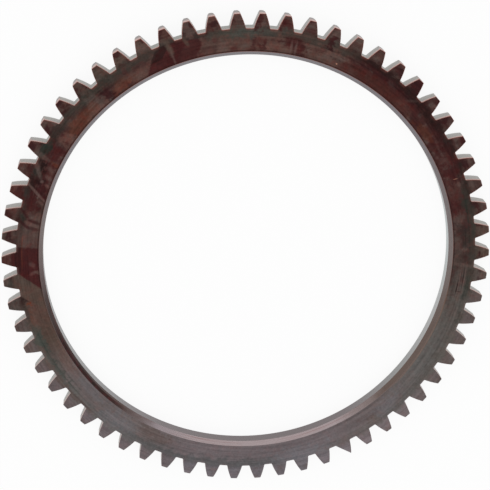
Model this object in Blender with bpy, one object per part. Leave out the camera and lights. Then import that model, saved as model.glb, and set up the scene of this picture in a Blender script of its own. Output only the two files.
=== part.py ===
"""Ring gear: a toothed steel ring, made to be shrunk onto the rim of a flywheel.

Units are metres and +Z is up. The ring lies on its back face with its axis on Z, and its origin
is the centre of the bore at that face. Tooth 0 points along +X, and the teeth are counted
anticlockwise as seen from the front, which is the upper face.
"""

from math import acos, cos, pi, radians, sin, tan

import bmesh
import bpy
from mathutils import Matrix, Vector

MM = 0.001

# Teeth. A stub tooth takes its spacing from one pitch, here 10 teeth to an inch of diameter, and
# its height from a finer one, here 12.
TOOTH_COUNT = 62
SPACING_MODULE = 2.54 * MM
HEIGHT_MODULE = 2.1167 * MM
PRESSURE_ANGLE = radians(20)
ADDENDUM_FACTOR = 1.0
DEDENDUM_FACTOR = 1.25
BACKLASH_THINNING = 0.29 * MM
ROOT_FILLET = 0.4 * MM
CREST_ROUND = 0.25 * MM
EDGE_BREAK = 0.2 * MM
BEVEL_LENGTH = 2.0 * MM
BEVEL_AT_CREST = 0.4 * MM
BEVEL_AT_ROOT = 0.15 * MM
WORN_TOOTH = 45
WORN_CREST_ROUND = 0.8 * MM
CHIPPED_TOOTH = 51

# Rim
FACE_WIDTH = 6.4 * MM
RIM_WALL = 8.7 * MM
FRONT_CHAMFER = 1.3 * MM
FRONT_CHAMFER_DEPTH = 1.6 * MM
BACK_CHAMFER = 0.6 * MM

# Fineness of the curved outlines
FLANK_STEPS = 3
ARC_STEPS = 2
BORE_STEPS = 4
SMOOTH_ANGLE = radians(40)

# Finish
STEEL_COLOUR = (0.085, 0.045, 0.040, 1.0)
STEEL_METALLIC = 0.7
STEEL_ROUGHNESS = 0.45

# Sizes that follow from the ones above
TOOTH_ANGLE = 2 * pi / TOOTH_COUNT
PITCH_RADIUS = TOOTH_COUNT * SPACING_MODULE / 2
BASE_RADIUS = PITCH_RADIUS * cos(PRESSURE_ANGLE)
CREST_RADIUS = PITCH_RADIUS + ADDENDUM_FACTOR * HEIGHT_MODULE
ROOT_RADIUS = PITCH_RADIUS - DEDENDUM_FACTOR * HEIGHT_MODULE
TOOTH_THICKNESS = pi * SPACING_MODULE / 2 - BACKLASH_THINNING
BORE_RADIUS = ROOT_RADIUS - RIM_WALL


def clear_scene():
    """Remove every object that the file opened with."""
    for item in list(bpy.data.objects):
        bpy.data.objects.remove(item, do_unlink=True)


def polar(radius, angle):
    """Return the point at this radius and angle in the plane of the ring."""
    return Vector((radius * cos(angle), radius * sin(angle)))


def involute(pressure):
    """Return the roll of an involute curve less its turn, at a pressure angle."""
    return tan(pressure) - pressure


def flank_angle(radius):
    """Return the angle between a tooth's centre line and its flank at this radius."""
    pressure = acos(min(1.0, BASE_RADIUS / radius))
    half_thickness = TOOTH_THICKNESS / (2 * PITCH_RADIUS)
    return half_thickness + involute(PRESSURE_ANGLE) - involute(pressure)


def bevelled_angle(radius):
    """Return the same angle at the back face, where a bevel lets the pinion slide in."""
    height = (radius - ROOT_RADIUS) / (CREST_RADIUS - ROOT_RADIUS)
    cut = BEVEL_AT_ROOT + (BEVEL_AT_CREST - BEVEL_AT_ROOT) * height
    return flank_angle(radius) - cut / radius


def rounded_corner(before, corner, after, radius):
    """Return the points of an arc that rounds one corner of an outline.

    The arc touches the two straight lines that meet at the corner. It gets smaller where a line
    is too short for it.
    """
    back = before - corner
    ahead = after - corner
    half_corner = back.angle(ahead) / 2
    reach = min(radius / tan(half_corner), 0.45 * back.length, 0.45 * ahead.length)
    start = corner + back.normalized() * reach
    middle = (back.normalized() + ahead.normalized()).normalized()
    centre = corner + middle * (reach / cos(half_corner))
    sweep = pi - 2 * half_corner
    if back.cross(ahead) > 0:
        sweep = -sweep
    points = []
    for step in range(ARC_STEPS + 1):
        turn = Matrix.Rotation(sweep * step / ARC_STEPS, 2)
        points.append(centre + turn @ (start - centre))
    return points


def half_tooth(crest_round, side_angle):
    """Return the outline from the middle of a root to the crest, below the centre line.

    The side angle is the function that places the flank: flank_angle or bevelled_angle.
    """
    corners = [polar(ROOT_RADIUS, -TOOTH_ANGLE / 2)]
    for step in range(FLANK_STEPS + 1):
        radius = ROOT_RADIUS + (CREST_RADIUS - ROOT_RADIUS) * step / FLANK_STEPS
        corners.append(polar(radius, -side_angle(radius)))
    corners.append(polar(CREST_RADIUS, side_angle(CREST_RADIUS)))
    root_middle, foot, first_flank = corners[:3]
    last_flank, crest, far_crest = corners[-3:]
    fillet = rounded_corner(root_middle, foot, first_flank, ROOT_FILLET)
    shoulder = rounded_corner(last_flank, crest, far_crest, crest_round)
    return [root_middle] + fillet + corners[2:-2] + shoulder


def tooth_outline(tooth, side_angle):
    """Return the outline of one tooth with the root before it.

    The worn tooth has rounder crest corners than the rest. The chipped tooth has lost one corner:
    a straight break runs from the foot of its first flank to the far side of its crest.
    """
    first = half_tooth(WORN_CREST_ROUND if tooth == WORN_TOOTH else CREST_ROUND, side_angle)
    second = [Vector((point.x, -point.y)) for point in reversed(first[1:])]
    outline = first + second
    if tooth == CHIPPED_TOOTH:
        foot = ARC_STEPS + 1
        break_end = len(first)
        for step in range(foot + 1, break_end):
            share = (step - foot) / (break_end - foot)
            outline[step] = outline[foot].lerp(outline[break_end], share)
    return outline


def gear_outline(side_angle):
    """Return the toothed outline of the whole ring, anticlockwise."""
    points = []
    for tooth in range(TOOTH_COUNT):
        turn = Matrix.Rotation(tooth * TOOTH_ANGLE, 2)
        points += [turn @ point for point in tooth_outline(tooth, side_angle)]
    return points


def inset(outline, depth):
    """Return a closed anticlockwise outline moved inwards by the same depth all round."""
    moved = []
    for place, point in enumerate(outline):
        arriving = (point - outline[place - 1]).normalized()
        leaving = (outline[(place + 1) % len(outline)] - point).normalized()
        inwards = (arriving + leaving).orthogonal()
        if inwards.dot(Vector((-arriving.y, arriving.x))) < 0:
            inwards.negate()
        moved.append(point + inwards * (2 * depth / inwards.length_squared))
    return moved


def bore_circle(radius):
    """Return a circle of the bore, with its first point in line with the middle of a root."""
    count = TOOTH_COUNT * BORE_STEPS
    return [polar(radius, 2 * pi * place / count - TOOTH_ANGLE / 2) for place in range(count)]


def add_loop(mesh, points, height):
    """Add one closed loop of vertices at a height and return them."""
    return [mesh.verts.new((point.x, point.y, height)) for point in points]


def join_loops(mesh, first, second):
    """Close the strip between two loops that have as many points."""
    for place in range(len(first)):
        after = (place + 1) % len(first)
        mesh.faces.new((first[place], first[after], second[after], second[place]))


def close_end(mesh, outer, inner, faces_up):
    """Close one flat face of the ring with one polygon for each tooth."""
    outer_count = len(outer) // TOOTH_COUNT
    for tooth in range(TOOTH_COUNT):
        rim = [outer[(tooth * outer_count + place) % len(outer)] for place in range(outer_count + 1)]
        bore = [inner[(tooth * BORE_STEPS + place) % len(inner)] for place in range(BORE_STEPS + 1)]
        border = rim + bore[::-1]
        mesh.faces.new(border if faces_up else border[::-1])


def build_ring():
    """Build the solid ring: its toothed side, its bore with two chamfers and its two faces."""
    outline = gear_outline(flank_angle)
    face_outline = inset(outline, EDGE_BREAK)
    toothed_side = (
        (gear_outline(bevelled_angle), 0.0),
        (outline, BEVEL_LENGTH),
        (outline, FACE_WIDTH - EDGE_BREAK),
        (face_outline, FACE_WIDTH),
    )
    bore_side = (
        (bore_circle(BORE_RADIUS + FRONT_CHAMFER), FACE_WIDTH),
        (bore_circle(BORE_RADIUS), FACE_WIDTH - FRONT_CHAMFER_DEPTH),
        (bore_circle(BORE_RADIUS), BACK_CHAMFER),
        (bore_circle(BORE_RADIUS + BACK_CHAMFER), 0.0),
    )
    mesh = bmesh.new()
    toothed_loops = [add_loop(mesh, points, height) for points, height in toothed_side]
    bore_loops = [add_loop(mesh, points, height) for points, height in bore_side]
    for loops in (toothed_loops, bore_loops):
        for below, above in zip(loops, loops[1:]):
            join_loops(mesh, below, above)
    close_end(mesh, toothed_loops[-1], bore_loops[0], True)
    close_end(mesh, toothed_loops[0], bore_loops[-1], False)
    mesh.normal_update()
    return mesh


def steel():
    """Return the material of the ring: steel with a brown tint from its heat treatment."""
    material = bpy.data.materials.new("heat_tinted_steel")
    material.use_nodes = True
    material.diffuse_color = STEEL_COLOUR
    surface = material.node_tree.nodes["Principled BSDF"]
    surface.inputs["Base Color"].default_value = STEEL_COLOUR
    surface.inputs["Metallic"].default_value = STEEL_METALLIC
    surface.inputs["Roughness"].default_value = STEEL_ROUGHNESS
    return material


def main():
    """Make the ring gear as one object."""
    clear_scene()
    solid = build_ring()
    mesh = bpy.data.meshes.new("ring_gear")
    solid.to_mesh(mesh)
    solid.free()
    mesh.materials.append(steel())
    mesh.shade_smooth()
    mesh.set_sharp_from_angle(angle=SMOOTH_ANGLE)
    ring = bpy.data.objects.new("ring_gear", mesh)
    bpy.context.scene.collection.objects.link(ring)


main()
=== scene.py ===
# %% [markdown]
# A ring gear in heat-tinted steel
#
# This lesson dresses one piece of steel: a flat ring with 62 spur teeth round its outside. It is
# shrunk onto the rim of a flywheel, so its bore is plain, with a chamfer that helps it over the
# seat. The packed model gives its frame: it lies on its back face, its axis is Z, and tooth 0
# points along +X. Everything is in metres, and MM turns millimetres into that.

# %% Open the frame
from math import acos, cos, degrees, pi, radians, sin, tan

import bpy
import numpy as np
from mathutils import Color, Matrix, Vector, noise


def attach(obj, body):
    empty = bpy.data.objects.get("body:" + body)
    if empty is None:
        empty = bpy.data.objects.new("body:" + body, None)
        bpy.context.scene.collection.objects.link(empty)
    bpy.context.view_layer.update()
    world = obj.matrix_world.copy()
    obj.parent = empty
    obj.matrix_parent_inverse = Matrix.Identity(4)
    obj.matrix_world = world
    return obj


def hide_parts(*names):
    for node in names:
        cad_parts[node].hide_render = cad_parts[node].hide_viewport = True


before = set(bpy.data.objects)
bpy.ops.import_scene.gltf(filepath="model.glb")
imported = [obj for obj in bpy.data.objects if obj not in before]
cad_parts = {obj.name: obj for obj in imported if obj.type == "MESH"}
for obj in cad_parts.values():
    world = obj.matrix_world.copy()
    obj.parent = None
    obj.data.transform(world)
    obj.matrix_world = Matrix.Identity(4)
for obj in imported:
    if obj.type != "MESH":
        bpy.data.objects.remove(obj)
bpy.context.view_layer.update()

MM = 0.001

# %% [markdown]
# The ring's sizes
#
# The teeth follow the stub system, which takes their spacing from one pitch and their height from a
# finer one, so they are short and strong. This finer ring could be made by bevelling the packed
# solid, but it would keep that solid's facets. So it is drawn afresh from the same numbers, with
# rounded edges and more points.

# %% Sizes of the ring
TOOTH_COUNT = 62
SPACING_MODULE = 2.54 * MM
HEIGHT_MODULE = 2.1167 * MM
PRESSURE_ANGLE = radians(20)
DEDENDUM_FACTOR = 1.25
BACKLASH_THINNING = 0.29 * MM
ROOT_FILLET = 0.4 * MM
CREST_ROUND = 0.25 * MM
EDGE_BREAK = 0.2 * MM
BEVEL_LENGTH = 2.0 * MM
BEVEL_AT_CREST = 0.4 * MM
BEVEL_AT_ROOT = 0.15 * MM
WORN_TOOTH = 45
WORN_CREST_ROUND = 0.8 * MM
CHIPPED_TOOTH = 51
FACE_WIDTH = 6.4 * MM
RIM_WALL = 8.7 * MM
FRONT_CHAMFER = 1.3 * MM
FRONT_CHAMFER_DEPTH = 1.6 * MM
BACK_CHAMFER = 0.6 * MM

# Sizes that follow from the ones above.
TOOTH_ANGLE = 2 * pi / TOOTH_COUNT
PITCH_RADIUS = TOOTH_COUNT * SPACING_MODULE / 2
BASE_RADIUS = PITCH_RADIUS * cos(PRESSURE_ANGLE)
CREST_RADIUS = PITCH_RADIUS + HEIGHT_MODULE
ROOT_RADIUS = PITCH_RADIUS - DEDENDUM_FACTOR * HEIGHT_MODULE
TOOTH_THICKNESS = pi * SPACING_MODULE / 2 - BACKLASH_THINNING
BORE_RADIUS = ROOT_RADIUS - RIM_WALL
print("crest, root and bore in mm:", [round(r / MM, 2) for r in (CREST_RADIUS, ROOT_RADIUS, BORE_RADIUS)])

# %% [markdown]
# The flank of a tooth
#
# The flank of a tooth is an involute, the curve that the end of a string draws as it unwinds from a
# circle. It could be traced by hand, but a function gives the true curve at any fineness. A second
# one gives the thinner tooth at the back face, where both flanks are bevelled to let a pinion slide
# in.

# %% Flanks as functions


def polar(radius, angle):
    """Return the point at this radius and angle in the plane of the ring."""
    return Vector((radius * cos(angle), radius * sin(angle)))


def involute(pressure):
    """Return the roll of an involute curve less its turn, at a pressure angle."""
    return tan(pressure) - pressure


def flank_angle(radius):
    """Return the angle between a tooth's centre line and its flank at this radius."""
    pressure = acos(min(1.0, BASE_RADIUS / radius))
    half_thickness = TOOTH_THICKNESS / (2 * PITCH_RADIUS)
    return half_thickness + involute(PRESSURE_ANGLE) - involute(pressure)


def bevelled_angle(radius):
    """Return the same angle at the back face, where the bevel has thinned the tooth."""
    height = (radius - ROOT_RADIUS) / (CREST_RADIUS - ROOT_RADIUS)
    cut = BEVEL_AT_ROOT + (BEVEL_AT_CREST - BEVEL_AT_ROOT) * height
    return flank_angle(radius) - cut / radius


for side_angle in (flank_angle, bevelled_angle):
    print(side_angle.__name__, "at the crest in degrees:", round(degrees(side_angle(CREST_RADIUS)), 3))

# %% [markdown]
# Rounded corners
#
# The hob leaves a fillet at the foot of each tooth, and a crest is never quite sharp. A bevel
# modifier could round the finished mesh, but an arc always has as many points, so that two outlines
# can be joined point by point.

# %% Rounded corners
CORNER_SHARE = 0.45


def rounded_corner(before, corner, after, radius, steps):
    """Return the points of an arc that rounds one corner of an outline.

    The arc touches both lines of the corner and takes no more than a share of either.
    """
    back = before - corner
    ahead = after - corner
    half_corner = back.angle(ahead) / 2
    longest_reach = CORNER_SHARE * min(back.length, ahead.length)
    reach = min(radius / tan(half_corner), longest_reach)
    start = corner + back.normalized() * reach
    middle = (back.normalized() + ahead.normalized()).normalized()
    centre = corner + middle * (reach / cos(half_corner))
    sweep = pi - 2 * half_corner
    if back.cross(ahead) > 0:
        sweep = -sweep
    points = []
    for step in range(steps + 1):
        turn = Matrix.Rotation(sweep * step / steps, 2)
        points.append(centre + turn @ (start - centre))
    return points


print("an arc takes at most this share of a line:", CORNER_SHARE)

# %% [markdown]
# The outline of the teeth
#
# Half of a tooth is worked out as corners, its foot and crest are rounded, and the other half is
# its mirror. An Array modifier could repeat one tooth, but one of them has lost a corner, and one
# is worn round at its crest. So each is drawn and turned into its place, and the whole outline is
# drawn again with bevelled teeth.

# %% Outline of the teeth
FLANK_STEPS = 6
ARC_STEPS = 4


def half_tooth(crest_round, side_angle):
    """Return the outline from the middle of a root to the crest, below the centre line."""
    corners = [polar(ROOT_RADIUS, -TOOTH_ANGLE / 2)]
    for step in range(FLANK_STEPS + 1):
        radius = ROOT_RADIUS + (CREST_RADIUS - ROOT_RADIUS) * step / FLANK_STEPS
        corners.append(polar(radius, -side_angle(radius)))
    corners.append(polar(CREST_RADIUS, side_angle(CREST_RADIUS)))
    root_middle, foot, first_flank = corners[:3]
    last_flank, crest, far_crest = corners[-3:]
    fillet = rounded_corner(root_middle, foot, first_flank, ROOT_FILLET, ARC_STEPS)
    shoulder = rounded_corner(last_flank, crest, far_crest, crest_round, ARC_STEPS)
    return [root_middle] + fillet + corners[2:-2] + shoulder


def tooth_outline(tooth, side_angle):
    """Return the outline of one tooth with the root before it.

    The break of the chipped tooth runs straight from the foot of its first flank to the far side
    of its crest.
    """
    first = half_tooth(WORN_CREST_ROUND if tooth == WORN_TOOTH else CREST_ROUND, side_angle)
    second = [Vector((point.x, -point.y)) for point in reversed(first[1:])]
    points = first + second
    if tooth == CHIPPED_TOOTH:
        foot = ARC_STEPS + 1
        break_end = len(first)
        for step in range(foot + 1, break_end):
            share = (step - foot) / (break_end - foot)
            points[step] = points[foot].lerp(points[break_end], share)
    return points


def gear_outline(side_angle):
    """Return the toothed outline of the whole ring, anticlockwise, as rows of x and y."""
    points = []
    for tooth in range(TOOTH_COUNT):
        turn = Matrix.Rotation(tooth * TOOTH_ANGLE, 2)
        points += [turn @ point for point in tooth_outline(tooth, side_angle)]
    return np.array(points)


outline = gear_outline(flank_angle)
back_outline = gear_outline(bevelled_angle)
print("outline points:", len(outline), "for each tooth:", len(outline) // TOOTH_COUNT)

# %% [markdown]
# Edges that a hand has broken
#
# A cutter leaves burrs, and they are filed off, never by the same amount all round. That rounding
# catches the light along a tooth, so it is real shape and not a trick of shading. A bevel modifier
# would make it even, so each edge is a quarter round whose radius swells and shrinks, about once
# every 4 mm.

# %% Loops of the toothed side
BREAK_STEPS = 3
BREAK_CHANGE = 0.3
SWELLS_PER_METRE = 260.0
BACK_BREAK_SHARE = 0.5


def moved_in(points, depth):
    """Move each point of a closed anticlockwise outline inwards by its own depth."""
    arriving = points - np.roll(points, 1, axis=0)
    leaving = np.roll(points, -1, axis=0) - points
    arriving /= np.linalg.norm(arriving, axis=1)[:, None]
    leaving /= np.linalg.norm(leaving, axis=1)[:, None]
    along = arriving + leaving
    inwards = np.column_stack((-along[:, 1], along[:, 0]))
    return points + inwards * (2 * depth / (inwards**2).sum(axis=1))[:, None]


def uneven_break(points, height):
    """Return the radius of the broken edge at each point of an outline."""
    swell = [noise.noise(Vector((x, y, height)) * SWELLS_PER_METRE) for x, y in points]
    return EDGE_BREAK * (1 - BREAK_CHANGE + BREAK_CHANGE * np.array(swell))


def quarter_round(points, face_height, into_ring, size=1.0):
    """Return the loops of one broken edge, from the flat face to the toothed side.

    From the face, the ring lies upwards where into_ring is 1, and downwards where it is -1.
    """
    depth = uneven_break(points, face_height) * size
    loops = []
    for step in range(BREAK_STEPS + 1):
        turn = pi / 2 * step / BREAK_STEPS
        heights = face_height + into_ring * depth * (1 - cos(turn))
        loops.append(np.column_stack((moved_in(points, depth * (1 - sin(turn))), heights)))
    return loops


back_edge = quarter_round(back_outline, 0.0, 1, BACK_BREAK_SHARE)
bevel_end = np.column_stack((outline, np.full(len(outline), BEVEL_LENGTH)))
front_edge = quarter_round(outline, FACE_WIDTH, -1)
toothed_loops = back_edge + [bevel_end] + front_edge[::-1]
print("loops of the toothed side:", len(toothed_loops))

# %% [markdown]
# The bore
#
# The bore is turned in a lathe: a plain seat with a wide chamfer at the front and a small one at
# the back. A Screw modifier could turn its profile, but the flat faces need circles with a point in
# line with the middle of each root. So each point of the profile becomes one circle here. The
# profile runs on along both faces only to give its end corners a second side.

# %% Loops of the bore
BORE_STEPS = 8
BORE_COUNT = TOOTH_COUNT * BORE_STEPS
TURNED_ROUND = 0.12 * MM
TURNED_STEPS = 2
PROFILE_REACH = 2 * MM


def bore_profile():
    """Return (radius, height) points of the bore from its front edge to its back edge."""
    corners = [
        Vector((BORE_RADIUS + FRONT_CHAMFER + PROFILE_REACH, FACE_WIDTH)),
        Vector((BORE_RADIUS + FRONT_CHAMFER, FACE_WIDTH)),
        Vector((BORE_RADIUS, FACE_WIDTH - FRONT_CHAMFER_DEPTH)),
        Vector((BORE_RADIUS, BACK_CHAMFER)),
        Vector((BORE_RADIUS + BACK_CHAMFER, 0)),
        Vector((BORE_RADIUS + BACK_CHAMFER + PROFILE_REACH, 0)),
    ]
    points = []
    for before, corner, after in zip(corners, corners[1:], corners[2:]):
        points += rounded_corner(before, corner, after, TURNED_ROUND, TURNED_STEPS)
    return points


def bore_loop(radius, height):
    """Return one circle of the bore, which starts in line with the middle of a root."""
    turns = 2 * pi * np.arange(BORE_COUNT) / BORE_COUNT - TOOTH_ANGLE / 2
    return np.column_stack((radius * np.cos(turns), radius * np.sin(turns), np.full(BORE_COUNT, height)))


bore_loops = [bore_loop(radius, height) for radius, height in bore_profile()]
print("loops of the bore:", len(bore_loops))

# %% [markdown]
# Walls and flat faces
#
# The skin between two loops is a strip of quads. Blender's bridge tool could make the strips, but
# it doesn't say which finish each one wears, and a flank, a chamfer and a worn edge come from
# different tools. Each flat face is closed by one polygon for each tooth, so that no long sliver
# runs across it.

# %% Walls and flat faces


def strip(first, second, count):
    """Return the quads between two loops, which are given by their first vertex."""
    quads = []
    for place in range(count):
        after = (place + 1) % count
        quads.append((first + place, first + after, second + after, second + place))
    return quads


def wall(starts, strip_finishes, count):
    """Return the quads that join loop to loop, and the finish that each quad wears."""
    quads = []
    finishes = []
    for finish, first, second in zip(strip_finishes, starts, starts[1:]):
        quads += strip(first, second, count)
        finishes += [finish] * count
    return quads, finishes


def flat_face(outer, inner, faces_up):
    """Return one polygon for each tooth between the outer and the inner loop of a face."""
    outer_count = len(outline)
    outer_share = outer_count // TOOTH_COUNT
    polygons = []
    for tooth in range(TOOTH_COUNT):
        rim = [outer + (tooth * outer_share + step) % outer_count for step in range(outer_share + 1)]
        bore = [inner + (tooth * BORE_STEPS + step) % BORE_COUNT for step in range(BORE_STEPS + 1)]
        border = rim + bore[::-1]
        polygons.append(border if faces_up else border[::-1])
    return polygons


print("sides of each polygon of a flat face:", len(flat_face(0, len(outline), True)[0]))

# %% [markdown]
# The mesh of the ring
#
# All loops go into one list of vertices, and each is known by the number of its first one. There
# could be one mesh for each finish, but one closed skin is what the steel has.

# %% Mesh of the ring
FINISHES = ("tinted_face", "plain_back", "worn_edge", "cut_tooth", "turned_chamfer", "bore_seat")
FACE, BACK, EDGE, TOOTH, CHAMFER, SEAT = range(len(FINISHES))
TOOTHED_FINISHES = [EDGE] * BREAK_STEPS + [TOOTH, TOOTH] + [EDGE] * BREAK_STEPS
# The small chamfer at the back is finished as the edges on either side of it.
BACK_CHAMFER_FINISHES = [EDGE] * (2 * TURNED_STEPS + 1)
BORE_FINISHES = [EDGE] * TURNED_STEPS + [CHAMFER] + [EDGE] * TURNED_STEPS + [SEAT] + BACK_CHAMFER_FINISHES
SMOOTH_ANGLE = radians(40)


def ring_mesh():
    """Build the ring from its loops and return the mesh."""
    loops = toothed_loops + bore_loops
    starts = np.cumsum([0] + [len(loop) for loop in loops]).tolist()
    toothed_starts = starts[: len(toothed_loops)]
    bore_starts = starts[len(toothed_loops) : -1]
    toothed_wall, toothed_finishes = wall(toothed_starts, TOOTHED_FINISHES, len(outline))
    bore_wall, bore_finishes = wall(bore_starts, BORE_FINISHES, BORE_COUNT)
    front = flat_face(toothed_starts[-1], bore_starts[0], True)
    back = flat_face(toothed_starts[0], bore_starts[-1], False)
    finishes = toothed_finishes + bore_finishes + [FACE] * len(front) + [BACK] * len(back)
    mesh = bpy.data.meshes.new("dressed_ring")
    mesh.from_pydata(np.vstack(loops).tolist(), [], toothed_wall + bore_wall + front + back)
    mesh.polygons.foreach_set("material_index", finishes)
    mesh.shade_smooth()
    mesh.set_sharp_from_angle(angle=SMOOTH_ANGLE)
    return mesh


dressed_ring = bpy.data.objects.new("dressed_ring", ring_mesh())
bpy.context.scene.collection.objects.link(dressed_ring)
print("faces of the ring:", len(dressed_ring.data.polygons))

# %% [markdown]
# In place of the solid
#
# The packed solid stays for resting and touching, and the dressed ring is shown in its place, on
# the same body. More cuts in the mesh could keep the turned faces flat right up to their rounded
# edges, but weighted normals do so with no new faces.

# %% Ring in place of the solid
flat_faces = dressed_ring.modifiers.new("flat_faces", "WEIGHTED_NORMAL")
flat_faces.mode = "FACE_AREA"
flat_faces.keep_sharp = True
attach(dressed_ring, "root")
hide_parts("ring_gear")
print("the ring's modifiers:", [modifier.name for modifier in dressed_ring.modifiers])

# %% [markdown]
# Shader maths in plain expressions
#
# A finish is a tree of nodes. It could be wired by hand, or node by node in code, but both hide the
# idea. So one small class wraps a socket: sums of such values add the Math nodes, and one method
# adds any other node.

# %% A socket that can be used in sums
# A Mix node has a set of sockets for each kind of value. These are the ones for colours.
MIX_UNDER = 6
MIX_OVER = 7
MIX_COLOUR = 2


class Wire:
    """One output of a shader tree, which can be used in sums like a number."""

    def __init__(self, tree, socket=None):
        self.tree = tree
        self.socket = socket

    def add(self, kind, settings=None, sockets=None, output=0):
        """Add a node, with its settings first and then the values or links of its sockets."""
        node = self.tree.nodes.new(kind)
        for name, value in (settings or {}).items():
            if name == "stops":
                set_stops(node.color_ramp, value)
            else:
                setattr(node, name, value)
        for name, value in (sockets or {}).items():
            if isinstance(value, Wire):
                self.tree.links.new(value.socket, node.inputs[name])
            else:
                node.inputs[name].default_value = value
        return Wire(self.tree, node.outputs[output])

    def math(self, operation, first, second=0.0):
        """Add one Math node on two values."""
        return self.add("ShaderNodeMath", {"operation": operation}, {0: first, 1: second})

    def __add__(self, other):
        return self.math("ADD", self, other)

    def __radd__(self, other):
        return self.math("ADD", other, self)

    def __sub__(self, other):
        return self.math("SUBTRACT", self, other)

    def __rsub__(self, other):
        return self.math("SUBTRACT", other, self)

    def __mul__(self, other):
        return self.math("MULTIPLY", self, other)

    def __rmul__(self, other):
        return self.math("MULTIPLY", other, self)

    def __truediv__(self, other):
        return self.math("DIVIDE", self, other)

    def __abs__(self):
        return self.math("ABSOLUTE", self)

    def most(self, other):
        """Return the greater of two values."""
        return self.math("MAXIMUM", self, other)

    def wrapped(self, low, high):
        """Return this value brought between two limits by whole turns from one to the other."""
        return self.add("ShaderNodeMath", {"operation": "WRAP"}, {0: self, 1: high, 2: low})

    def fade(self, start, end, top=1.0):
        """Return a mask that goes smoothly from 0 at start to its top value at end."""
        sockets = {"Value": self, "From Min": start, "From Max": end, "To Max": top}
        return self.add("ShaderNodeMapRange", {"interpolation_type": "SMOOTHSTEP"}, sockets)

    def swing(self, amount):
        """Return this noise as a shift of up to half the amount either way."""
        return (self - 0.5) * amount

    def about_one(self, amount):
        """Return this noise as a factor that stays within half the amount of 1."""
        return 1 - amount / 2 + self * amount

    def mix(self, under, over):
        """Lay one colour over another, with this value as the mask."""
        sockets = {0: self, MIX_UNDER: under, MIX_OVER: over}
        return self.add("ShaderNodeMix", {"data_type": "RGBA"}, sockets, MIX_COLOUR)

    def vector(self, operation, second=(0.0, 0.0, 0.0), output="Vector"):
        """Add one Vector Math node on this vector and another."""
        sockets = {0: self, 1: second}
        return self.add("ShaderNodeVectorMath", {"operation": operation}, sockets, output)

    def scaled(self, factor):
        """Return this colour or vector times a number."""
        return self.add("ShaderNodeVectorMath", {"operation": "SCALE"}, {0: self, "Scale": factor})


print("what a wire can do:", sorted(name for name in vars(Wire) if name[0] != "_"))

# %% [markdown]
# Colours and ramps
#
# Steel under an oxide film is easiest to match as it looks on a screen, so each colour is written
# that way, from 0 to 255. Shaders work in linear light. The formula between the two could be written
# out, but Blender's own Color knows it.

# %% Colours and ramps


def tone(red, green, blue):
    """Return a colour in linear light that is written as it looks on a screen."""
    linear = Color((red / 255, green / 255, blue / 255)).from_srgb_to_scene_linear()
    return (*linear, 1.0)


def set_stops(ramp, stops):
    """Give a colour ramp its stops, as pairs of a position from 0 to 1 and a colour."""
    for position, _ in stops[2:]:
        ramp.elements.new(position)
    for element, (position, colour) in zip(ramp.elements, stops):
        element.position = position
        element.color = colour


print("a tone for brown steel:", [round(value, 3) for value in tone(80, 57, 51)])

# %% [markdown]
# Where a point lies on the ring
#
# Every mark on this ring follows its shape. The finishes could be unwrapped onto a flat strip, but
# a strip has ends. So they read the angle round the ring and the distance below the tooth roots.
# Noise is read at a point on a circle, with the radius as its third coordinate, so it has no seam
# and can be stretched either way.

# %% Places on the ring
# Angles count anticlockwise from tooth 0, as seen from the front, and ramps start at the seam.
SEAM = -105.0


class Place:
    """The angle, radius and height of the shaded point, in degrees and millimetres."""

    def __init__(self, tree):
        self.point = Wire(tree).add("ShaderNodeTexCoord", output="Object").scaled(1 / MM)
        x, y, z = [self.point.add("ShaderNodeSeparateXYZ", None, {0: self.point}, axis) for axis in "XYZ"]
        squared = x * x + y * y
        self.radius = squared.math("SQRT", squared)
        self.angle = (x.math("ARCTAN2", y, x) * (180 / pi)).wrapped(SEAM, SEAM + 360)
        self.height = z
        self.across = x / self.radius
        self.along = y / self.radius
        self.below_root = ROOT_RADIUS / MM - self.radius
        self.spot = self.shifted_spot(0.0, 0.0)

    def combine(self, first, second, third):
        """Return a vector of three values."""
        return self.point.add("ShaderNodeCombineXYZ", None, {0: first, 1: second, 2: third})

    def shifted_spot(self, sideways, inwards):
        """Return the place moved by some degrees and millimetres, to bend what is laid there.

        Its third value is 1, so that a dot product can add a number too.
        """
        return self.combine(self.angle + sideways, self.below_root + inwards, 1.0)

    def noise_at(self, vector, cells, detail):
        """Return noise that is read at a vector, with so many cells for each unit."""
        sockets = {"Vector": vector, "Scale": cells, "Detail": detail}
        return self.point.add("ShaderNodeTexNoise", None, sockets)

    def grain(self, round_cells, radial_cells, shift=0.0, detail=3.0):
        """Return noise with so many cells for each radian and for each millimetre of radius."""
        across = self.across * round_cells
        along = self.along * round_cells
        return self.noise_at(self.combine(across, along, self.radius * radial_cells + shift), 1.0, detail)

    def mottle(self, cells, detail=4.0):
        """Return even noise with so many cells for each millimetre."""
        return self.noise_at(self.point, cells, detail)

    def near(self, middle, gone, full):
        """Return a mask round an angle: 1 up to full degrees from it, and 0 from gone degrees on."""
        return abs((self.angle - middle).wrapped(-180.0, 180.0)).fade(gone, full)

    def between_teeth(self):
        """Return 1 in line with the root between two teeth, and 0 in line with a tooth."""
        teeth = self.angle * (TOOTH_COUNT / 360)
        return abs(teeth.wrapped(-0.5, 0.5)).fade(0.3, 0.4)

    def round_ramp(self, stops, wobble=0.0):
        """Return a colour that changes round the ring, from pairs of an angle and a colour."""
        share = (self.angle + wobble - SEAM) / 360
        placed = sorted(((angle - SEAM) % 360 / 360, colour) for angle, colour in stops)
        closed = [(0.0, placed[0][1])] + placed + [(1.0, placed[0][1])]
        return share.add("ShaderNodeValToRGB", {"stops": closed}, {0: share})


print("places are read from the ring's own frame, with their seam at", SEAM, "degrees")

# %% [markdown]
# A new finish
#
# The whole ring is bare metal, so each finish starts fully metallic, and only what changes over the
# surface is linked to it. Turning lines a few hundredths of a millimetre deep could be cut into the
# mesh, but at the cost of a great many faces, so they go through a Bump node.

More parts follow.
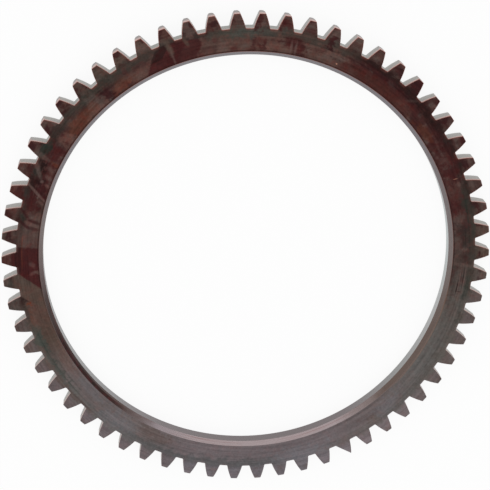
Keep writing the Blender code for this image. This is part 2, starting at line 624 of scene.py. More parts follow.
# %% Start and end of a finish


def new_finish(finish):
    """Return a new metal for one of the numbered finishes, and the place of its shaded point."""
    material = bpy.data.materials.new(FINISHES[finish])
    material.use_nodes = True
    material.node_tree.nodes["Principled BSDF"].inputs["Metallic"].default_value = 1.0
    return material, Place(material.node_tree)


def wear(material, **values):
    """Link values to the sockets of a metal, whose names have _ for a space."""
    tree = material.node_tree
    for name, value in values.items():
        socket = tree.nodes["Principled BSDF"].inputs[name.replace("_", " ").title()]
        tree.links.new(value.socket, socket)
    print("nodes in", material.name + ":", len(tree.nodes))


def bump(height, depth_mm):
    """Return a normal that is bent by a height from 0 to 1."""
    return height.add("ShaderNodeBump", None, {"Height": height, "Distance": depth_mm * MM})


print("helpers of a finish:", [helper.__name__ for helper in (new_finish, wear, bump)])

# %% [markdown]
# A palette of oxide tones
#
# When steel is heated, a film of oxide grows on it: brown first, then maroon, then violet and grey.
# Oil darkens it, and a rubbed edge shows paler, partly as a painted highlight. The violet and grey
# tones over the lower half of the ring also stand for a painted sheen, the light that it reflects.
# The tones could be picked stop by stop, but a small palette keeps them in one family.

# %% Oxide tones
DARK_BROWN = tone(54, 43, 41)
GREY_BROWN = tone(90, 75, 70)
WIPED_BROWN = tone(80, 66, 59)
RED_BROWN = tone(72, 40, 37)
MAROON = tone(63, 31, 31)
DEEP_MAROON = tone(52, 25, 27)
RUST = tone(97, 54, 40)
PINK_BROWN = tone(108, 79, 71)
GREEN_BLACK = tone(42, 46, 41)
GREEN_GREY = tone(66, 69, 64)
BLUE_GREY = tone(110, 108, 112)
INK = tone(40, 27, 26)
SCUFF = tone(106, 85, 80)
# A painted highlight: the colour of a small glint, laid as a streak.
PAINTED_GLINT = tone(180, 130, 110)
SOOT = tone(46, 40, 37)
MOSS_BROWN = tone(52, 51, 46)
DARK_MAROON = tone(55, 34, 32)
CHESTNUT = tone(62, 38, 36)
LIVER_BROWN = tone(64, 43, 41)
WALNUT = tone(64, 49, 45)
UMBER = tone(63, 55, 50)
OLIVE_BROWN = tone(67, 64, 58)
HAZEL = tone(76, 56, 52)
WARM_BROWN = tone(85, 63, 57)
ASH_BROWN = tone(83, 77, 73)
SLATE = tone(82, 81, 82)
MAUVE_BROWN = tone(93, 81, 79)
PEWTER = tone(91, 88, 86)
VIOLET_BROWN = tone(98, 89, 88)
VIOLET_GREY = tone(102, 93, 95)
LAVENDER_GREY = tone(104, 98, 102)
PALE_VIOLET = tone(117, 106, 108)
# The rubbed tones are partly bare steel and partly a painted highlight.
RUBBED_BROWN_HIGHLIGHT = tone(110, 96, 93)
RUBBED_ROSE_HIGHLIGHT = tone(120, 87, 80)
RUBBED_PINK_HIGHLIGHT = tone(124, 78, 71)
RUBBED_RED_HIGHLIGHT = tone(133, 81, 72)
print("ink in linear light:", [round(value, 3) for value in INK[:3]])

# %% [markdown]
# The tint of the flat face
#
# The teeth were heated and quenched, which left a tint that changes slowly round the ring, from
# maroon to violet grey. Over the lower half that violet grey is partly a painted sheen, the light
# that the face reflects there. The tint could be painted as a picture, but a colour ramp laid round
# the ring says the same in a few stops. The teeth have their own ramp, because they cooled faster
# than the rim, and so have the dark band below their roots, where the quench ended, and the rubbed
# edges.

# %% Tints round the ring
# Each stop: an angle in degrees, and the tone there.
# From about 200 to 330 degrees, the lower half, the violet and grey stops are partly painted sheen.
RIM_TINT_AND_SHEEN = (
    (0, WALNUT), (14, LIVER_BROWN), (26, CHESTNUT), (40, CHESTNUT), (58, DARK_MAROON), (68, WARM_BROWN),
    (98, WARM_BROWN), (118, HAZEL), (135, WALNUT), (150, LIVER_BROWN), (165, WALNUT), (176, HAZEL),
    (190, WARM_BROWN), (203, WIPED_BROWN), (215, VIOLET_BROWN), (240, VIOLET_BROWN), (262, VIOLET_GREY),
    (290, VIOLET_GREY), (312, VIOLET_BROWN), (326, PEWTER), (345, ASH_BROWN),
)
TOOTH_TINT_AND_SHEEN = (
    (0, WIPED_BROWN), (15, HAZEL), (45, LIVER_BROWN), (60, HAZEL), (85, HAZEL), (103, WARM_BROWN),
    (125, WIPED_BROWN), (145, HAZEL), (165, HAZEL), (186, UMBER), (203, MAUVE_BROWN), (222, VIOLET_GREY),
    (250, VIOLET_GREY), (285, LAVENDER_GREY), (305, PALE_VIOLET), (325, VIOLET_BROWN), (347, MAUVE_BROWN),
)
BAND_TINT_AND_SHEEN = (
    (0, UMBER), (9, MOSS_BROWN), (19, SOOT), (28, INK), (60, INK), (65, UMBER), (80, UMBER),
    (90, GREEN_GREY), (98, OLIVE_BROWN), (104, DARK_BROWN), (120, UMBER), (133, MOSS_BROWN), (138, UMBER),
    (147, SOOT), (151, GREEN_BLACK), (160, SOOT), (173, WALNUT), (181, DARK_MAROON), (186, WALNUT),
    (195, UMBER), (202, GREEN_GREY), (222, PEWTER), (258, SLATE), (276, SLATE), (284, LAVENDER_GREY),
    (294, VIOLET_BROWN), (314, PEWTER), (330, ASH_BROWN), (346, ASH_BROWN), (351, OLIVE_BROWN),
)
# The edge ramp is partly the edges' own colour and partly a painted highlight.
EDGE_TINT_AND_HIGHLIGHT = (
    (0, RUBBED_ROSE_HIGHLIGHT), (30, RUBBED_PINK_HIGHLIGHT), (60, RUBBED_RED_HIGHLIGHT), (120, RUBBED_RED_HIGHLIGHT), (170, RUBBED_ROSE_HIGHLIGHT),
    (205, VIOLET_BROWN), (300, PALE_VIOLET), (340, RUBBED_BROWN_HIGHLIGHT),
)
print("stops in the tints:", [len(stops) for stops in (RIM_TINT_AND_SHEEN, TOOTH_TINT_AND_SHEEN, BAND_TINT_AND_SHEEN, EDGE_TINT_AND_HIGHLIGHT)])

# %% [markdown]
# Stains
#
# Over the tint lie stains of oil and of the quench. Noise could scatter stains, but never where
# this ring has them. They are few enough to list one by one, as a painter would lay them: which
# colour, where, how big, how far it leans and how strong. Each is an oval, which noise then bends
# and frays, and later ones lie over earlier ones.

# %% Stains
# Each mark: colour, angle and distance below the root, half sizes in degrees and in millimetres,
# lean in degrees for each millimetre inwards, and strength.
STAINS = (
    (GREEN_BLACK, 5.5, 2.6, 2.6, 1.2, 0.0, 0.4),
    (GREEN_BLACK, 13.6, 2.4, 2.8, 1.3, 0.0, 0.6),
    (GREEN_BLACK, 349.6, 1.4, 2.2, 1.0, 0.0, 0.35),
    (GREEN_BLACK, 350.8, -0.9, 1.4, 1.1, 0.0, 0.4),
    (GREEN_BLACK, 341.5, 0.4, 1.6, 0.9, 0.0, 0.35),
    (GREEN_BLACK, 168.9, 1.0, 1.4, 1.4, 0.3, 0.6),
    (GREEN_GREY, 201.5, 2.0, 4.6, 1.0, 0.0, 0.65),
    (GREEN_GREY, 211.5, 1.9, 5.0, 0.9, 0.0, 0.5),
    (GREY_BROWN, 213.0, 0.0, 14.0, 0.8, 0.0, 0.6),
    (DARK_BROWN, 3.4, 3.6, 1.2, 1.8, 0.2, 0.4),
    (DARK_BROWN, 7.3, 4.6, 1.5, 2.6, 0.2, 0.7),
    (GREY_BROWN, 1.8, 6.0, 2.6, 1.6, 0.0, 0.55),
    (GREY_BROWN, 10.2, 5.4, 1.7, 2.4, 0.0, 0.5),
    (MAROON, 14.0, 5.6, 2.6, 1.8, 0.0, 0.8),
    (PINK_BROWN, 17.8, 4.8, 2.6, 2.6, 0.2, 0.18),
    (MAROON, 24.5, 3.9, 4.6, 3.2, 0.0, 0.7),
    (GREY_BROWN, 26.0, 4.4, 1.4, 2.0, 0.3, 0.35),
    (MAROON, 33.0, 3.2, 3.0, 1.9, 0.0, 0.5),
    (RUST, 36.4, 5.6, 3.0, 1.6, 0.2, 0.42),
    (PINK_BROWN, 45.5, 5.6, 2.8, 1.5, 0.0, 0.3),
    (DEEP_MAROON, 54.0, 2.8, 9.5, 1.6, 0.0, 0.6),
    (RUST, 54.0, 5.8, 7.0, 1.5, 0.0, 0.25),
    (DEEP_MAROON, 69.8, 0.2, 1.2, 2.4, 0.2, 0.8),
    (MAROON, 78.7, 4.2, 2.5, 2.7, -0.3, 0.8),
    (PINK_BROWN, 82.8, 5.9, 3.6, 1.2, 0.0, 0.4),
    (MAROON, 86.6, 5.3, 0.6, 2.1, 0.0, 0.7),
    (MAROON, 88.3, 5.0, 0.5, 2.1, 0.0, 0.6),
    (MAROON, 101.3, 6.2, 2.2, 1.4, 0.0, 0.4),
    (PINK_BROWN, 120.0, 5.6, 4.2, 2.0, 0.0, 0.4),
    (RUST, 124.4, 5.6, 3.2, 2.0, 0.3, 0.45),
    (DEEP_MAROON, 129.2, 5.2, 2.0, 2.6, -0.3, 0.8),
    (GREY_BROWN, 133.0, 4.6, 1.9, 3.2, 0.0, 0.6),
    (RUST, 139.6, 5.3, 5.2, 2.5, 0.0, 0.5),
    (PINK_BROWN, 134.5, 6.4, 3.4, 1.0, 0.0, 0.4),
    (PINK_BROWN, 145.5, 4.8, 1.4, 3.0, 0.0, 0.5),
    (MAROON, 150.5, 4.4, 3.3, 3.6, 0.0, 0.85),
    (PINK_BROWN, 155.0, 6.0, 3.0, 1.2, 0.0, 0.3),
    (MAROON, 158.5, 4.6, 4.6, 3.6, 0.0, 0.8),
    (MAROON, 164.6, 2.9, 2.8, 2.4, 0.5, 0.8),
    (RED_BROWN, 167.4, 3.4, 1.8, 2.0, 0.3, 0.3),
    (GREEN_BLACK, 150.6, 0.9, 1.9, 1.7, 0.0, 0.8),
    (INK, 154.6, 2.2, 1.9, 1.4, 0.6, 0.95),
    (INK, 157.0, 3.4, 2.4, 1.3, 1.0, 0.7),
    (INK, 159.0, 1.7, 1.6, 1.7, 0.5, 0.8),
    (DEEP_MAROON, 161.5, 4.6, 2.2, 1.8, 0.4, 0.5),
    (PINK_BROWN, 169.0, 6.0, 2.4, 1.4, 0.0, 0.3),
    (GREY_BROWN, 168.4, 4.8, 1.1, 2.4, 0.3, 0.4),
    (GREY_BROWN, 174.8, 4.0, 3.2, 4.0, 0.0, 0.35),
    (RED_BROWN, 180.0, -2.9, 1.8, 2.4, 0.0, 0.7),
    (MAROON, 69.9, -1.3, 0.8, 1.1, 0.0, 0.7),
    (MAROON, 75.9, -1.3, 1.2, 1.0, 0.0, 0.6),
    (MAROON, 81.5, -1.8, 1.6, 1.8, 0.0, 0.65),
    (MAROON, 87.8, -2.6, 1.2, 2.2, 0.0, 0.7),
    (MAROON, 99.5, -1.5, 1.0, 1.4, 0.0, 0.55),
    (GREY_BROWN, 104.4, -2.6, 1.8, 2.6, 0.0, 0.7),
    (RED_BROWN, 110.3, -2.6, 1.5, 2.2, 0.0, 0.5),
    (RED_BROWN, 156.5, -2.4, 1.8, 2.4, 0.0, 0.45),
    (RED_BROWN, 162.4, -2.4, 1.8, 2.4, 0.0, 0.45),
    (RED_BROWN, 168.1, -2.4, 1.8, 2.4, 0.0, 0.5),
    (MAROON, 187.6, 6.6, 2.2, 1.0, 0.0, 0.5),
    (INK, 191.3, 0.4, 1.7, 0.9, 0.0, 0.6),
    (RUST, 192.4, 2.1, 0.8, 0.8, 0.2, 0.85),
    (RUST, 196.4, 1.6, 1.6, 0.6, 0.0, 0.35),
    (PINK_BROWN, 196.6, 2.2, 2.6, 1.6, 0.0, 0.25),
    (PINK_BROWN, 210.0, 5.8, 5.0, 1.6, 0.0, 0.3),
    (BLUE_GREY, 222.0, 6.0, 5.0, 1.8, 0.0, 0.3),
    (BLUE_GREY, 233.0, 3.2, 5.0, 3.2, 0.3, 0.4),
    (GREY_BROWN, 243.0, 5.2, 4.4, 2.4, 0.0, 0.45),
    (BLUE_GREY, 285.0, 1.6, 8.0, 2.4, 0.0, 0.55),
    (GREY_BROWN, 307.0, 2.4, 3.0, 1.4, 0.0, 0.4),
    (BLUE_GREY, 312.0, 3.8, 4.6, 2.4, 0.5, 0.45),
    (RED_BROWN, 347.4, 5.5, 0.5, 1.5, 0.0, 0.25),
    (DARK_BROWN, 358.8, 3.8, 2.2, 4.2, 0.0, 0.28),
)
print("stains:", len(STAINS))

# %% [markdown]
# Wipes
#
# A wipe is where a cloth took the oil off or left it on. It could be a stain with less noise, but a
# wipe has a clean, leaning edge and an oval has none. So it is a square with round corners.

# %% Wipes
WIPES = (
    (RED_BROWN, 54.2, 5.5, 11.2, 2.6, 0.86, 0.6),
    (MAROON, 107.4, 5.0, 4.4, 3.8, 0.5, 0.85),
    (MAROON, 112.0, 4.4, 4.0, 4.2, 0.84, 0.9),
    (INK, 112.9, 2.2, 1.8, 2.0, 0.8, 0.7),
    (MAROON, 180.1, 4.1, 3.3, 5.3, 0.0, 0.95),
    (MAROON, 184.2, 3.7, 2.2, 5.4, 0.72, 0.95),
    (INK, 180.2, 0.5, 3.5, 1.0, 0.0, 0.5),
    (RUST, 178.0, 1.9, 4.5, 0.18, 0.0, 0.35),
    (WIPED_BROWN, 189.0, 3.7, 3.1, 5.4, 0.7, 0.8),
)
print("wipes:", len(WIPES))

# %% [markdown]
# Streaks
#
# The thinnest marks are scuffs, drips and painted glints, small highlights painted as colour: long,
# thin ovals with soft edges. A scratch map could hold many more, but only these can be made out.

# %% Streaks
STREAKS = (
    # Both glints in this table are painted highlights.
    (PAINTED_GLINT, 20.6, 3.1, 0.08, 0.7, 0.1, 0.6),
    (SCUFF, 44.8, 2.2, 0.5, 1.3, 0.8, 0.16),
    (PAINTED_GLINT, 66.6, 5.9, 0.22, 0.25, 0.0, 0.8),
    (SCUFF, 78.1, 5.2, 0.3, 2.0, 0.0, 0.5),
    (SCUFF, 79.3, 5.2, 0.3, 2.0, 0.0, 0.5),
    (WIPED_BROWN, 105.9, 1.2, 0.5, 1.5, -0.25, 0.75),
    (WIPED_BROWN, 110.2, 1.2, 0.7, 3.2, -0.1, 0.85),
    (SCUFF, 110.0, 4.8, 0.3, 2.6, 0.0, 0.35),
    (GREY_BROWN, 152.3, 1.3, 0.6, 2.1, 0.1, 0.55),
    (RUST, 152.9, 5.8, 0.4, 1.4, 0.2, 0.5),
    (GREY_BROWN, 156.2, 1.9, 0.9, 1.7, 0.9, 0.65),
    (SCUFF, 154.6, 5.2, 0.6, 1.0, 0.3, 0.3),
    (SCUFF, 156.9, 5.7, 0.6, 1.2, 0.2, 0.4),
    (SCUFF, 158.4, 4.1, 0.4, 0.5, 0.0, 0.5),
    (SCUFF, 159.1, 6.3, 0.5, 0.8, 0.2, 0.45),
    (SCUFF, 161.8, 3.8, 0.4, 3.8, 0.5, 0.55),
    (SCUFF, 164.1, 5.9, 0.5, 1.1, 0.4, 0.35),
    (DEEP_MAROON, 167.9, 1.8, 0.5, 1.9, 0.75, 0.7),
    (DEEP_MAROON, 169.6, 5.2, 0.4, 2.4, 0.15, 0.6),
    (SCUFF, 170.5, 4.8, 0.5, 2.2, 0.2, 0.45),
    (DEEP_MAROON, 170.9, 2.4, 0.5, 2.0, 0.5, 0.7),
    (DEEP_MAROON, 171.5, 5.2, 0.4, 2.2, 0.1, 0.5),
    (SCUFF, 181.6, 5.2, 0.7, 0.9, 0.3, 0.32),
    (SCUFF, 183.8, 5.3, 0.5, 1.1, -0.3, 0.32),
    (GREY_BROWN, 356.6, 3.6, 0.5, 3.8, 0.1, 0.5),
    (INK, 190.7, 1.1, 0.35, 1.3, 0.6, 0.6),
    (SCUFF, 353.0, 2.6, 3.4, 0.2, 0.0, 0.45),
    (INK, 353.4, 3.0, 2.3, 0.14, 0.0, 0.5),
    (INK, 353.2, 3.8, 1.3, 0.12, 0.0, 0.4),
    (INK, 350.3, 4.5, 1.7, 0.18, 0.0, 0.85),
    (INK, 349.1, 3.6, 0.16, 1.0, 0.0, 0.6),
    (SCUFF, 351.0, 4.1, 3.6, 0.2, 0.0, 0.4),
)
print("streaks:", len(STREAKS))

# %% [markdown]
# How a mark is laid
#
# Each mark is a mask that lays its colour over what is there. It could be a small picture, but a
# distance is enough: how far a point lies from the middle of the mark, in units of its half sizes.
# Squaring both parts of it makes the oval a square with round corners, and noise frays its edge.

# %% Laying the marks
STAIN_SOFT = 0.45
WIPE_SOFT = 0.2
STREAK_SOFT = 0.6


def mark_offset(place, spot, angle, below, half_angle, half_below, lean):
    """Return how far a spot lies from the middle of a mark, in units of its half sizes."""
    shift = lean * below - ((angle - SEAM) % 360 + SEAM)
    sideways = (1 / half_angle, -lean / half_angle, shift / half_angle)
    inwards = (0.0, 1 / half_below, -below / half_below)
    return place.combine(
        spot.vector("DOT_PRODUCT", sideways, "Value"), spot.vector("DOT_PRODUCT", inwards, "Value"), 0.0
    )


def marked(place, colour, marks, spot, ragged, soft, square=False):
    """Lay marks over a ground colour, as ovals or as squares with round corners."""
    for mark_colour, *shape, strength in marks:
        offset = mark_offset(place, spot, *shape)
        if square:
            offset = offset.vector("MULTIPLY", offset)
        reach = offset.vector("LENGTH", output="Value") + ragged
        colour = reach.fade(1 + soft, 1 - soft, strength).mix(colour, mark_colour)
    return colour


print("marks on the face:", len(STAINS) + len(WIPES) + len(STREAKS))

# %% [markdown]
# The noises of the face
#
# The film is uneven at every scale: blotches, ragged spots, fine specks, the lines of the turning
# tool, smears across the rim and small shifts of hue. One noise could stand for all, but then all
# would follow one pattern. So each has its own, and all the layers of a face share them.

# %% Noises of the face


class FaceNoise:
    """The noises that the layers of a face share, and the mask of its upper half, above the painted
    sheen.
    """

    def __init__(self, place):
        self.blotches = place.mottle(0.25, 3.0)
        self.ragged = place.mottle(0.7, 5.0)
        self.specks = place.mottle(1.8)
        self.lines = place.grain(3.0, 1.5, 7.0, 4.0)
        self.smears = place.grain(20.0, 0.3, 3.0, 4.0)
        self.hues = place.grain(34.0, 0.6, 43.0, 4.0)
        self.top = place.near(90.0, 115.0, 90.0)


print("the layers of a face share one", FaceNoise.__name__)

# %% [markdown]
# The tint of the rim, the teeth and the band
#
# The tints are laid in rings: the teeth outside, the rim inside, and the dark band between them.
# Over the lower half each ring also holds a painted sheen, the light that the face reflects there. A
# clean circle between two tints would look painted, so the radius is roughened by noise first. At
# the top the rim is smeared with maroon and grey brown, and the teeth went one way or the other.

# %% Tint of a face
# Noise lies about 0.5, so a fade that rises from there and one that falls take different patches.


def rim_tint_and_sheen(place, film):
    """Return the tint and painted sheen of the rim."""
    colour = place.round_ramp(RIM_TINT_AND_SHEEN, film.blotches.swing(8.0))
    colour = (film.smears.fade(0.5, 0.64, 0.5) * film.top).mix(colour, MAROON)
    return (film.smears.fade(0.48, 0.34, 0.5) * film.top).mix(colour, GREY_BROWN)


def tooth_tint_and_sheen(place, film):
    """Return the tint and painted sheen of the teeth."""
    patches = place.grain(16.0, 0.3, 21.0, 3.0)
    colour = place.round_ramp(TOOTH_TINT_AND_SHEEN)
    colour = (patches.fade(0.5, 0.6, 0.75) * film.top).mix(colour, DEEP_MAROON)
    colour = (patches.fade(0.48, 0.38, 0.6) * film.top).mix(colour, GREY_BROWN)
    return (patches.fade(0.5, 0.65, 0.35) * (1 - film.top)).mix(colour, GREY_BROWN)


def face_tint_and_sheen(place, film):
    """Return the tint and painted sheen of a face: its rim, its teeth and the band between them."""
    below = place.below_root + film.ragged.swing(4.0) + film.lines.swing(3.0)
    colour = below.fade(1.0, -0.8).mix(rim_tint_and_sheen(place, film), tooth_tint_and_sheen(place, film))
    band = below.fade(-1.6, 0.4, 0.85) * (below + film.blotches.swing(5.0)).fade(3.4, 1.2)
    return band.mix(colour, place.round_ramp(BAND_TINT_AND_SHEEN, film.blotches.swing(6.0)))


print("tints of a face:", [tint.__name__ for tint in (rim_tint_and_sheen, tooth_tint_and_sheen, face_tint_and_sheen)])

# %% [markdown]
# The finish of the faces
#
# The layers go on in the order in which they came: the tint, the marks, the darker oily edge at the
# chamfer, then fine lines and mottle. Along the roots runs a pale red line, where the heat left the
# film thin. Lines and mottle also bend the surface, so that it is not a mirror. The back could have
# marks of its own, but nobody has seen it, so it has the tint alone.

# %% Finish of the faces
WARMER = (1.2, 0.88, 0.86)
COLDER = (0.86, 1.0, 1.02)
RUSTY_EDGE = tone(120, 92, 76)
FACE_RELIEF_MM = 0.02


def with_marks(place, film, colour):
    """Lay the marks and the heat line over the tint of a face."""
    bent = place.shifted_spot(film.blotches.swing(6.0), film.ragged.swing(3.0))
    frayed = film.ragged.swing(3.0) + film.smears.swing(1.2) + film.lines.swing(1.2)
    colour = marked(place, colour, STAINS, bent, frayed, STAIN_SOFT)
    colour = marked(place, colour, WIPES, place.spot, film.ragged.swing(0.6), WIPE_SOFT, square=True)
    colour = marked(place, colour, STREAKS, place.spot, film.ragged.swing(1.5), STREAK_SOFT)
    heat_line = place.below_root.fade(1.1, 0.0, 0.26) * place.between_teeth()
    return heat_line.mix(colour, place.round_ramp(EDGE_TINT_AND_HIGHLIGHT))


def with_worn_bore_edge(place, colour):
    """Darken a face along its inner edge, and let a little rust show at its lower right."""
    oily = place.below_root.fade(6.7, 7.1, 0.6) * place.near(92.0, 104.0, 94.0)
    colour = oily.mix(colour, INK)
    rusty = place.below_root.fade(6.8, 7.3, 0.5) * place.near(334.0, 22.0, 12.0)
    return rusty.mix(colour, RUSTY_EDGE)


def face_finish(finish, has_marks):
    """Make the finish of one flat face, with the marks or with its plain tint alone."""
    material, place = new_finish(finish)
    film = FaceNoise(place)
    colour = face_tint_and_sheen(place, film)
    if has_marks:
        colour = with_marks(place, film, colour)
    hue_share = 0.2 + film.top * 0.4
    colour = (film.hues.fade(0.5, 0.66) * hue_share).mix(colour, colour.vector("MULTIPLY", WARMER))
    colour = (film.hues.fade(0.5, 0.34) * hue_share).mix(colour, colour.vector("MULTIPLY", COLDER))
    colour = with_worn_bore_edge(place, colour)
    # Each noise lies about 0.5, so the shade lies about 1.
    shade = 0.05 + film.lines * 0.9 + film.specks * 0.6 + film.ragged * 0.36
    relief = bump(film.lines * 0.5 + film.specks * 0.5, FACE_RELIEF_MM)
    wear(material, base_color=colour.scaled(shade), roughness=0.36 + film.blotches * 0.2, normal=relief)


face_finish(FACE, True)
face_finish(BACK, False)

# %% [markdown]
# The finish of the teeth
#
# Flanks and crests came off the hob, so they are plain grey steel with faint specks. Towards the
# front the heat ran out over them, in pink and cream. Each crest also turns a darker grey towards
# its back, as painted shade. That could be another ramp round the ring, but it depends on the depth
# below the front face alone, so a fade is enough.

# %% Finish of the teeth
CUT_STEEL = tone(155, 152, 147)
ROOT_STEEL = tone(142, 142, 136)
CREST_STEEL_IN_SHADE = tone(138, 130, 127)
CREST_PINK = tone(198, 166, 158)
CREAM = tone(200, 162, 152)
TOOTH_RELIEF_MM = 0.01


def tooth_finish():
    """Make the finish of the flanks, the crests and the roots."""
    material, place = new_finish(TOOTH)
    specks = place.mottle(1.2)
    from_front = FACE_WIDTH / MM - place.height
    crest = place.radius.fade(CREST_RADIUS / MM - 0.2, CREST_RADIUS / MM - 0.05)
    root = place.radius.fade(ROOT_RADIUS / MM + 0.3, ROOT_RADIUS / MM + 0.05)
    # Each crest is pink at the front and a darker grey behind, and that grey is painted shade.
    crest_colour = (from_front + specks.swing(3.0)).fade(4.2, 1.2).mix(CREST_STEEL_IN_SHADE, CREST_PINK)
    colour = root.mix(crest.mix(CUT_STEEL, crest_colour), ROOT_STEEL)
    colour = from_front.fade(1.7, 0.4, 0.85).mix(colour, CREAM).scaled(specks.about_one(0.25))
    wear(material, base_color=colour, roughness=0.3 + specks * 0.15, normal=bump(specks, TOOTH_RELIEF_MM))


tooth_finish()

# %% [markdown]
# The finish of the edges
#
# The broken edges were brushed bare and then heated: pink where the face is maroon, and grey where
# it is grey. Their paler colour is partly that bare steel and partly a painted highlight along each
# edge. A Pointiness mask could find them, but it works in one of Blender's engines only. They are
# faces of their own here, so they have their own ramp.

# %% Finish of the edges


def edge_finish():
    """Make the finish of every broken edge."""
    material, place = new_finish(EDGE)
    specks = place.mottle(0.8)
    colour = place.round_ramp(EDGE_TINT_AND_HIGHLIGHT).scaled(specks.about_one(0.4))
    wear(material, base_color=colour, roughness=0.3 + specks * 0.2)


edge_finish()

# %% [markdown]
# The finish of the chamfer
#
# The wide chamfer was turned, so its lines run round the ring. Round the ring its tone is partly its
# own and partly painted light: palest at the bottom, as a painted reflection, and darker at the
# lower left, as painted shade, where a dark maroon stain also lies along its outer edge. Real grooves
# could be cut, but they are too fine for a mesh. So they are noise stretched round the ring, which
# changes quickly with the radius and slowly with the angle. On the lower half some are red and some
# grey.

# %% Finish of the chamfer
SHADE_BROWN = tone(76, 66, 64)
OIL_BROWN = tone(105, 91, 85)
DULL_STEEL = tone(111, 98, 97)
LATHE_BROWN = tone(127, 117, 115)
LATHE_GREY = tone(127, 122, 125)
BRIGHT_STEEL = tone(152, 141, 144)
PALE_STEEL = tone(168, 154, 155)
# The pale stops at the bottom are painted reflection, and the dark brown at the lower left is painted
# shade.
CHAMFER_TINT_AND_REFLECTION = (
    (0, LATHE_BROWN), (40, LATHE_GREY), (150, LATHE_GREY), (172, LATHE_BROWN), (184, DULL_STEEL),
    (194, SHADE_BROWN), (212, SHADE_BROWN), (228, GREY_BROWN), (237, DULL_STEEL), (244, BRIGHT_STEEL),
    (262, PALE_STEEL), (296, PALE_STEEL), (314, OIL_BROWN), (336, OIL_BROWN),
)
ARC_RED = tone(120, 66, 60)
ARC_GREY = tone(136, 132, 132)
OUTER_MAROON = tone(66, 30, 32)
CHAMFER_RELIEF_MM = 0.015


def chamfer_finish():
    """Make the finish of the wide chamfer at the front of the bore."""
    material, place = new_finish(CHAMFER)
    lines = place.grain(2.5, 3.6, 11.0)
    colour = place.round_ramp(CHAMFER_TINT_AND_REFLECTION, place.mottle(0.3).swing(8.0))
    lower = place.near(250.0, 75.0, 50.0)
    colour = (lines.fade(0.56, 0.7, 0.5) * lower).mix(colour, ARC_RED)
    colour = (lines.fade(0.44, 0.3, 0.4) * lower).mix(colour, ARC_GREY)
    outer = place.below_root.fade(8.6, 8.0, 0.75) * place.near(217.0, 20.0, 10.0)
    stained = place.mottle(0.5, 3.0).fade(0.42, 0.56).mix(INK, OUTER_MAROON)
    colour = outer.mix(colour, stained).scaled(lines.about_one(0.24))
    wear(material, base_color=colour, roughness=0.3 + lines * 0.1, normal=bump(lines, CHAMFER_RELIEF_MM))


chamfer_finish()

# %% [markdown]
# The finish of the seat
#
# The seat inside the bore is turned too, but it faces the axis, so its lines follow the height. It
# is the brightest part, since no oil stayed on it. One plain grey could do for so narrow a surface,
# but a ramp gives it the slow change that a turned bore has.

# %% Finish of the seat
DIM_SEAT = tone(116, 107, 108)
PLAIN_SEAT = tone(135, 133, 134)
CLEAR_SEAT = tone(144, 144, 143)
LIGHT_SEAT = tone(168, 168, 167)
BRIGHT_SEAT = tone(173, 180, 180)
SEAT_TINT = (
    (0, BRIGHT_SEAT), (30, BRIGHT_SEAT), (90, PLAIN_SEAT), (165, LIGHT_SEAT), (182, PLAIN_SEAT),
    (205, CLEAR_SEAT), (225, PLAIN_SEAT), (245, DIM_SEAT), (300, DIM_SEAT), (322, CLEAR_SEAT),
    (342, LIGHT_SEAT),
)
SEAT_RELIEF_MM = 0.01


def seat_finish():
    """Make the finish of the plain seat inside the bore."""
    material, place = new_finish(SEAT)
    turned = place.combine(place.across * 2.0, place.along * 2.0, place.height * 1.5)
    lines = place.noise_at(turned, 1.0, 3.0)
    colour = place.round_ramp(SEAT_TINT).scaled(lines.about_one(0.24))
    wear(material, base_color=colour, roughness=0.26 + lines * 0.15, normal=bump(lines, SEAT_RELIEF_MM))


seat_finish()

# %% [markdown]
# Dressing the ring
#
# Each face of the mesh already holds the number of its finish. Materials could be given to faces in
# edit mode, but it is enough to put them into the ring's slots in the order of those numbers.

# %% Dress the ring
for name in FINISHES:
    dressed_ring.data.materials.append(bpy.data.materials[name])
print("finishes:", [material.name for material in dressed_ring.data.materials])

# %% [markdown]
# The floor
#
# The ring lies on a pale floor, as in a catalogue picture. A plain white sheet would turn grey
# wherever the light is weaker. So the floor looks white to the camera and to the steel, and keeps
# some of its own shaded colour for the ring's soft shadow. It lies a hair below the ring, so that
# the two never share a plane.

# %% Floor
FLOOR_SIZE = 6.0
FLOOR_GAP = 0.05 * MM
FLOOR_WHITE = (0.96, 0.96, 0.96, 1.0)
FLOOR_GLOW = 0.9
FULL_WHITE = (1.0, 1.0, 1.0, 1.0)


def seen_plainly(tree):
    """Return 1 for rays from the camera, from a mirror or through glass, and 0 for the rest."""
    names = ("Is Camera Ray", "Is Glossy Ray", "Is Transmission Ray")
    camera_ray, glossy_ray, glass_ray = [
        Wire(tree).add("ShaderNodeLightPath", output=name) for name in names
    ]
    return camera_ray.most(glossy_ray).most(glass_ray)


def floor_finish():
    """Return the pale finish of the floor."""
    material = bpy.data.materials.new("pale_floor")
    material.use_nodes = True
    tree = material.node_tree
    tree.nodes.remove(tree.nodes["Principled BSDF"])
    plain = seen_plainly(tree) * FLOOR_GLOW
    matt = plain.add("ShaderNodeBsdfDiffuse", None, {"Color": FLOOR_WHITE})
    glow = plain.add("ShaderNodeEmission", None, {"Color": FULL_WHITE, "Strength": 1.0})
    both = plain.add("ShaderNodeMixShader", None, {0: plain, 1: matt, 2: glow})
    tree.links.new(both.socket, tree.nodes["Material Output"].inputs["Surface"])
    return material


def lay_floor():
    """Lay the floor just below the ring."""
    mesh = bpy.data.meshes.new("floor")
    half = FLOOR_SIZE / 2
    signs = ((-1, -1), (1, -1), (1, 1), (-1, 1))
    mesh.from_pydata([(x * half, y * half, -FLOOR_GAP) for x, y in signs], [], [(0, 1, 2, 3)])
    mesh.materials.append(floor_finish())
    floor = bpy.data.objects.new("floor", mesh)
    bpy.context.scene.collection.objects.link(floor)


lay_floor()
print("the floor is", FLOOR_SIZE, "m wide")

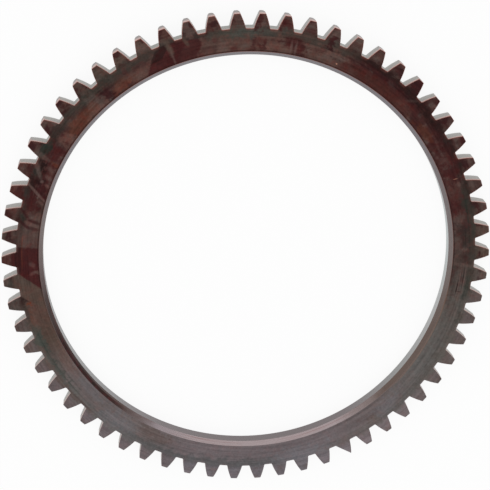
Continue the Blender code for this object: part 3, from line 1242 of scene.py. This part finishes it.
# %% [markdown]
# The world
#
# Bare steel shows what is round it, and white walls give it clean grey flanks. A picture of a
# studio could be wrapped round the scene, but its windows would show on the ring. So the world is
# plain white to look at, and a little weaker as a light, which leaves room for the lamps.

# %% World
WORLD_FILL = 0.85


def light_world():
    """Make a world that is white to look at and a plain fill for the rest."""
    world = bpy.data.worlds.new("bright_studio")
    world.use_nodes = True
    bpy.context.scene.world = world
    tree = world.node_tree
    level = seen_plainly(tree) * (1 - WORLD_FILL) + WORLD_FILL
    tree.links.new(level.socket, tree.nodes["Background"].inputs["Strength"])
    tree.nodes["Background"].inputs["Color"].default_value = FULL_WHITE


light_world()
print("the world fills with", WORLD_FILL, "of full white")

# %% [markdown]
# The lamps
#
# Two broad panels stand for a soft box above and a reflector at the side. One sun lamp would be
# simpler, but its shadows are hard. Both are weak, because the white walls already light the ring.

# %% Lamps
# Each lamp: name, place and width in metres, and power in watts.
LAMPS = (
    ("sky_panel", (0.15, -0.75, 1.0), 1.1, 0.9),
    ("side_panel", (-0.9, 0.35, 0.8), 0.7, 0.5),
)


def hang_lamp(name, place, width, power):
    """Hang a square lamp that faces the ring."""
    light = bpy.data.lights.new(name, "AREA")
    light.shape = "SQUARE"
    light.size = width
    light.energy = power
    lamp = bpy.data.objects.new(name, light)
    lamp.location = place
    lamp.rotation_mode = "QUATERNION"
    lamp.rotation_quaternion = Vector(place).to_track_quat("Z", "Y")
    bpy.context.scene.collection.objects.link(lamp)


for lamp_values in LAMPS:
    hang_lamp(*lamp_values)
print("lamps:", [name for name, *_ in LAMPS])

# %% [markdown]
# The camera
#
# The camera stands a little over half a metre above the ring, with the ring's +Y side at the top of
# the picture. It could be aimed with a Track To constraint, but the ring is a little off the
# middle. So its place is written as seen from the ring: tilted, turned, slid sideways and drawn
# back. The long lens keeps the ring nearly round.

# %% Camera
# The lens and the sensor are in millimetres, as Blender takes them.
LENS = 124.24
SENSOR = 36.0
CAMERA_DISTANCE = 559.2 * MM
CAMERA_SLIDE = (-0.940 * MM, 3.730 * MM)
CAMERA_TILT = radians(18.01)
CAMERA_TURN = radians(4.55)
FIRST_TOOTH_TURN = radians(0.906)


def place_camera():
    """Stand the camera where it sees the front face and a little of the bore."""
    turned = Matrix.Rotation(CAMERA_TURN, 3, "Y") @ Matrix.Rotation(CAMERA_TILT, 3, "X")
    turned = turned @ Matrix.Rotation(FIRST_TOOTH_TURN, 3, "Z")
    away = Vector((*CAMERA_SLIDE, CAMERA_DISTANCE))
    camera = bpy.data.objects.new("camera", bpy.data.cameras.new("camera"))
    camera.data.lens = LENS
    camera.data.sensor_width = SENSOR
    camera.rotation_mode = "QUATERNION"
    camera.rotation_quaternion = turned.transposed().to_quaternion()
    camera.location = turned.transposed() @ away + Vector((0, 0, FACE_WIDTH))
    bpy.context.scene.collection.objects.link(camera)
    bpy.context.scene.camera = camera
    return camera


camera = place_camera()
bpy.context.scene.view_settings.view_transform = "Standard"
print("camera stands at", [round(value, 3) for value in camera.location])

# %% [markdown]
# The end
#
# The dressed ring must be as large as its solid.
